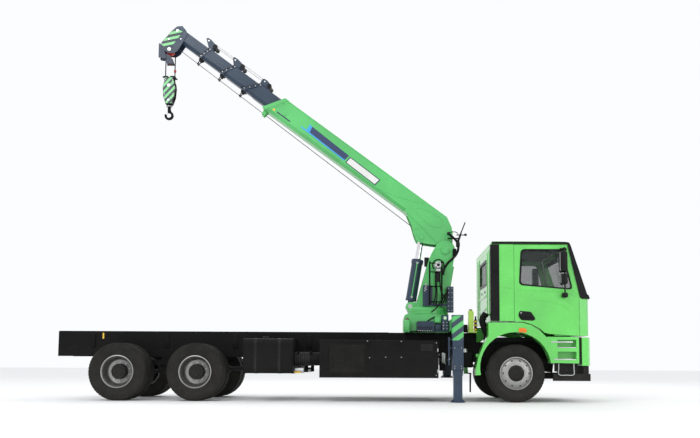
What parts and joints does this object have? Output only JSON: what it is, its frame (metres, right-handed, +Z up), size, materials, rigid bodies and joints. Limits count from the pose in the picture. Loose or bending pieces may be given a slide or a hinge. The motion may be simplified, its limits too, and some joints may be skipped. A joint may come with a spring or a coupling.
{
  "type": "truck-mounted mobile crane",
  "caption": "Cab-over truck with a telescopic straight boom crane on its chassis, with steering, doors, tilting cab, outriggers, slewing, lifting and telescoping boom and a hook",
  "frame": {"origin": "on the ground under the middle of the whole crane's box", "axes": "+X toward the front of the truck, +Y to its left, +Z up"},
  "size_m": [9.901, 2.96, 7.3801],
  "materials": {
    "cab_green": "gloss bright green paint",
    "crane_green": "satin green paint",
    "slate": "satin slate blue-grey paint",
    "black_steel": "black chassis paint",
    "black_plastic": "grained black plastic",
    "rubber": "black tyre rubber",
    "rim_silver": "silver wheel paint",
    "chrome": "bright chrome",
    "cast": "dark cast iron",
    "red": "red paint",
    "glass": "clear dark glass",
    "seat_cloth": "dark woven seat cloth",
    "white_tank": "translucent plastic bottle, yellow-green"
  },
  "bodies": {
    "chassis": {"frame_rails": "black_steel", "subframe": "black_steel", "front_axle": "black_steel", "rear_axle_front": "black_steel", "rear_axle_rear": "black_steel", "bogie_suspension": "black_steel", "engine": "cast", "side_box_right": "black_steel", "side_box_left": "black_steel", "fuel_tank_right": "black_steel", "fuel_tank_left": "black_steel", "bumper": "cab_green", "underrun_bar": "black_plastic", "fender_right": "cab_green", "fender_left": "cab_green", "crane_base": "crane_green", "control_bank": "slate", "coolant_tank": "white_tank"},
    "outrigger_beam_right": {"outrigger_beam_right": "slate"},
    "outrigger_beam_left": {"outrigger_beam_left": "slate"},
    "outrigger_leg_right": {"outrigger_leg_right": "slate"},
    "outrigger_leg_left": {"outrigger_leg_left": "slate"},
    "column": {"column": "crane_green", "valve_box": "slate", "hose_frame": "black_steel"},
    "boom": {"boom_base": "crane_green", "winch": "slate"},
    "section_2": {"boom_section_2": "slate"},
    "section_3": {"boom_section_3": "slate"},
    "section_4": {"boom_section_4": "slate"},
    "section_5": {"boom_section_5": "slate", "head_sheave": "red"},
    "hook_block": {"hook_block": "black_steel"},
    "hook": {"hook": "black_steel"},
    "lift_barrel": {"lift_barrel": "slate"},
    "lift_rod": {"lift_rod": "chrome"},
    "cab": {"cab_floor": "cab_green", "cab_rear_wall": "cab_green", "cab_roof": "cab_green", "cab_front": "cab_green", "windscreen": "glass", "air_intake": "black_plastic", "dashboard": "black_plastic", "seat_driver": "seat_cloth", "seat_passenger": "seat_cloth"},
    "door_right": {"door_right": "cab_green", "mirror_right": "black_plastic"},
    "door_left": {"door_left": "cab_green", "mirror_left": "black_plastic"},
    "knuckle_right": {"knuckle_right": "black_steel"},
    "knuckle_left": {"knuckle_left": "black_steel"},
    "front_wheel_right": {"tyre_front_right": "rubber", "rim_front_right": "rim_silver"},
    "front_wheel_left": {"tyre_front_left": "rubber", "rim_front_left": "rim_silver"},
    "rear_wheel_1_right": {"wheel_rear_1_right": "rubber"},
    "rear_wheel_1_left": {"wheel_rear_1_left": "rubber"},
    "rear_wheel_2_right": {"wheel_rear_2_right": "rubber"},
    "rear_wheel_2_left": {"wheel_rear_2_left": "rubber"}
  },
  "joints": [
    {"name": "steer_left", "type": "hinge", "parent": "chassis", "child": "knuckle_left", "pos_m": [3.585, 0.86, 0.522], "axis": [0, 0, 1], "range_deg": [-36, 36]},
    {"name": "steer_right", "type": "hinge", "parent": "chassis", "child": "knuckle_right", "pos_m": [3.585, -0.86, 0.522], "axis": [0, 0, 1], "range_deg": [-36, 36]},
    {"name": "roll_front_left", "type": "hinge", "parent": "knuckle_left", "child": "front_wheel_left", "pos_m": [3.585, 1.07, 0.522], "axis": [0, 1, 0], "continuous": true},
    {"name": "roll_front_right", "type": "hinge", "parent": "knuckle_right", "child": "front_wheel_right", "pos_m": [3.585, -1.07, 0.522], "axis": [0, 1, 0], "continuous": true},
    {"name": "roll_rear_1_left", "type": "hinge", "parent": "chassis", "child": "rear_wheel_1_left", "pos_m": [-2.185, 1.075, 0.522], "axis": [0, 1, 0], "continuous": true},
    {"name": "roll_rear_1_right", "type": "hinge", "parent": "chassis", "child": "rear_wheel_1_right", "pos_m": [-2.185, -1.075, 0.522], "axis": [0, 1, 0], "continuous": true},
    {"name": "roll_rear_2_left", "type": "hinge", "parent": "chassis", "child": "rear_wheel_2_left", "pos_m": [-3.585, 1.075, 0.522], "axis": [0, 1, 0], "continuous": true},
    {"name": "roll_rear_2_right", "type": "hinge", "parent": "chassis", "child": "rear_wheel_2_right", "pos_m": [-3.585, -1.075, 0.522], "axis": [0, 1, 0], "continuous": true},
    {"name": "cab_tilt", "type": "hinge", "parent": "chassis", "child": "cab", "pos_m": [4.925, 0, 1.186], "axis": [0, 1, 0], "range_deg": [0, 48]},
    {"name": "door_right_hinge", "type": "hinge", "parent": "cab", "child": "door_right", "pos_m": [4.731, -1.21, 1.2], "axis": [0, 0, 1], "range_deg": [0, 68]},
    {"name": "door_left_hinge", "type": "hinge", "parent": "cab", "child": "door_left", "pos_m": [4.731, 1.21, 1.2], "axis": [0, 0, 1], "range_deg": [-68, 0]},
    {"name": "outrigger_slide_right", "type": "slide", "parent": "chassis", "child": "outrigger_beam_right", "axis": [0, -1, 0], "range_m": [0, 0.9]},
    {"name": "outrigger_slide_left", "type": "slide", "parent": "chassis", "child": "outrigger_beam_left", "axis": [0, 1, 0], "range_m": [0, 0.9]},
    {"name": "jack_right", "type": "slide", "parent": "outrigger_beam_right", "child": "outrigger_leg_right", "axis": [0, 0, 1], "range_m": [0, 0.36]},
    {"name": "jack_left", "type": "slide", "parent": "outrigger_beam_left", "child": "outrigger_leg_left", "axis": [0, 0, -1], "range_m": [0, 0.4]},
    {"name": "slew", "type": "hinge", "parent": "chassis", "child": "column", "pos_m": [2.06, 0, 1.61], "axis": [0, 0, 1], "continuous": true},
    {"name": "boom_lift", "type": "hinge", "parent": "column", "child": "boom", "pos_m": [2.382, 0, 2.868], "axis": [0, 1, 0], "range_deg": [-36.4, 38.6]},
    {"name": "telescope_2", "type": "slide", "parent": "boom", "child": "section_2", "axis": [-0.8049, 0, 0.5934], "range_m": [0, 3.3]},
    {"name": "telescope_3", "type": "slide", "parent": "section_2", "child": "section_3", "axis": [-0.8049, 0, 0.5934], "range_m": [0, 3.3]},
    {"name": "telescope_4", "type": "slide", "parent": "section_3", "child": "section_4", "axis": [-0.8049, 0, 0.5934], "range_m": [0, 3.3]},
    {"name": "telescope_5", "type": "slide", "parent": "section_4", "child": "section_5", "axis": [-0.8049, 0, 0.5934], "range_m": [0, 3.3]},
    {"name": "hook_swing", "type": "hinge", "parent": "section_5", "child": "hook_block", "pos_m": [-3.09128, 0, 6.90325], "axis": [0, 1, 0], "range_deg": [-39, 37]},
    {"name": "hook_swivel", "type": "hinge", "parent": "hook_block", "child": "hook", "pos_m": [-3.09128, 0, 5.79], "axis": [0, 0, 1], "continuous": true},
    {"name": "lift_barrel_tilt", "type": "hinge", "parent": "column", "child": "lift_barrel", "pos_m": [1.713, 0, 1.79], "axis": [0, 1, 0], "range_deg": [-4.9, 5.2]},
    {"name": "lift_rod_slide", "type": "slide", "parent": "lift_barrel", "child": "lift_rod", "axis": [0.1609, 0, 0.987], "range_m": [-0.3, 0.32]}
  ],
  "couplings": [
    {"joint": "steer_right", "follows": "steer_left", "ratio": 1},
    {"joint": "telescope_3", "follows": "telescope_2", "ratio": 1},
    {"joint": "telescope_4", "follows": "telescope_2", "ratio": 1},
    {"joint": "telescope_5", "follows": "telescope_2", "ratio": 1},
    {"joint": "hook_swing", "follows": "boom_lift", "ratio": -1},
    {"joint": "lift_barrel_tilt", "follows": "boom_lift", "ratio": 0.13},
    {"joint": "lift_rod_slide", "follows": "boom_lift", "m_per_rad": 0.46}
  ]
}
